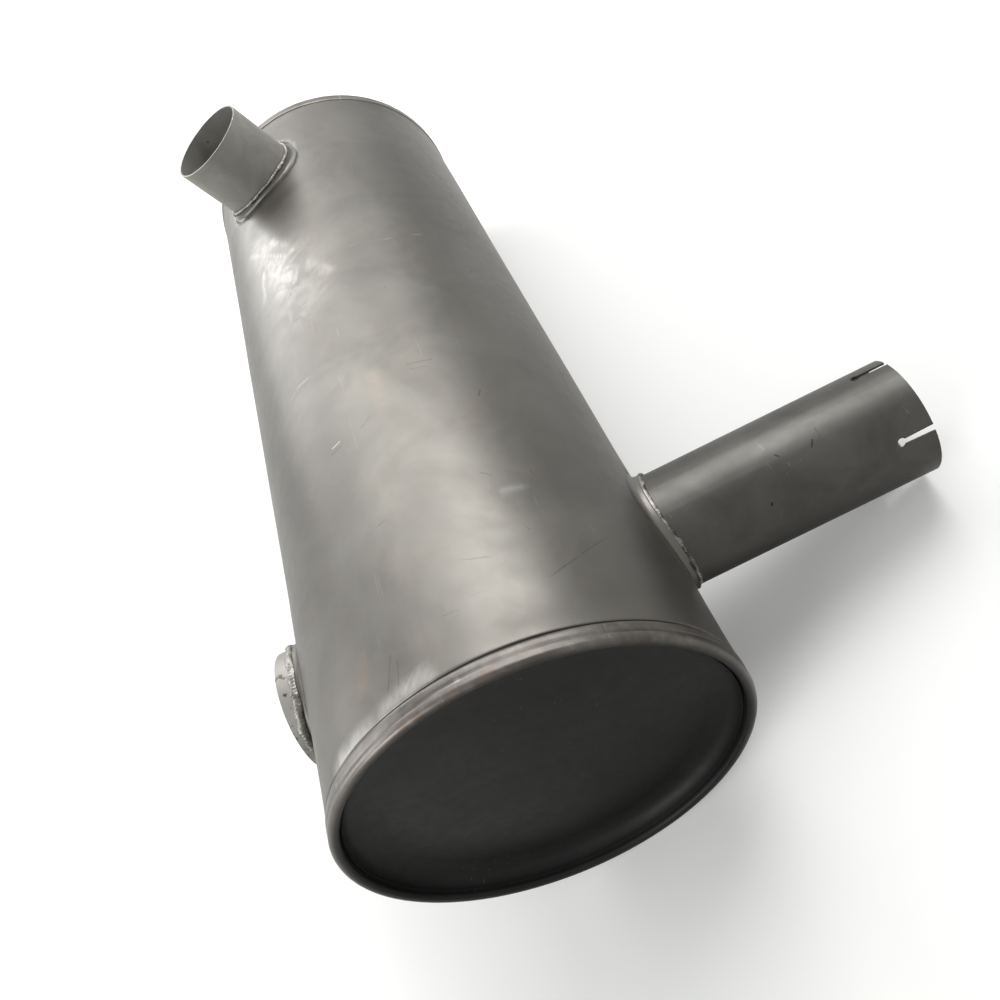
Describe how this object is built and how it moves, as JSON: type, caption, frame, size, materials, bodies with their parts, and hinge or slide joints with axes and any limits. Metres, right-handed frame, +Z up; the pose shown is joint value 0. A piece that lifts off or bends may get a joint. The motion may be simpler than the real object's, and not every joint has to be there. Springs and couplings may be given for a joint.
{
  "type": "muffler",
  "caption": "Round welded steel exhaust muffler with rolled end seams, a slotted inlet pipe right through the barrel and a short outlet pipe near the far end.",
  "frame": {"origin": "on the barrel's axis, at the middle of its length", "axes": "+Y along the barrel from the inlet end to the outlet end, +Z up with the muffler lying on its side, the slotted inlet pipe towards +X"},
  "size_m": [0.4255, 0.688, 0.3045],
  "materials": {
    "barrel_steel": "bare rolled sheet steel, satin, with scuffs",
    "head_steel": "bare pressed sheet steel, satin",
    "pipe_steel": "bare drawn steel tube, satin",
    "weld_metal": "uneven weld bead, cleaned",
    "inner_steel": "bare sheet steel"
  },
  "bodies": {
    "root": {"barrel": "barrel_steel", "barrel_seam_weld": "weld_metal", "near_head": "head_steel", "far_head": "head_steel", "inlet_pipe": "pipe_steel", "inlet_end_cap": "pipe_steel", "inlet_cap_weld": "weld_metal", "inlet_neck_weld": "weld_metal", "stub_neck_weld": "weld_metal", "outlet_pipe": "pipe_steel", "outlet_end_cap": "inner_steel", "outlet_cap_weld": "weld_metal", "outlet_neck_weld": "weld_metal", "front_baffle": "inner_steel", "front_baffle_tacks": "weld_metal", "front_tube_welds": "weld_metal", "front_transfer_tube_right": "inner_steel", "front_transfer_tube_left": "inner_steel", "rear_baffle": "inner_steel", "rear_baffle_tacks": "weld_metal", "rear_tube_welds": "weld_metal", "rear_transfer_tube_upper": "inner_steel", "rear_transfer_tube_lower": "inner_steel"}
  },
  "joints": []
}
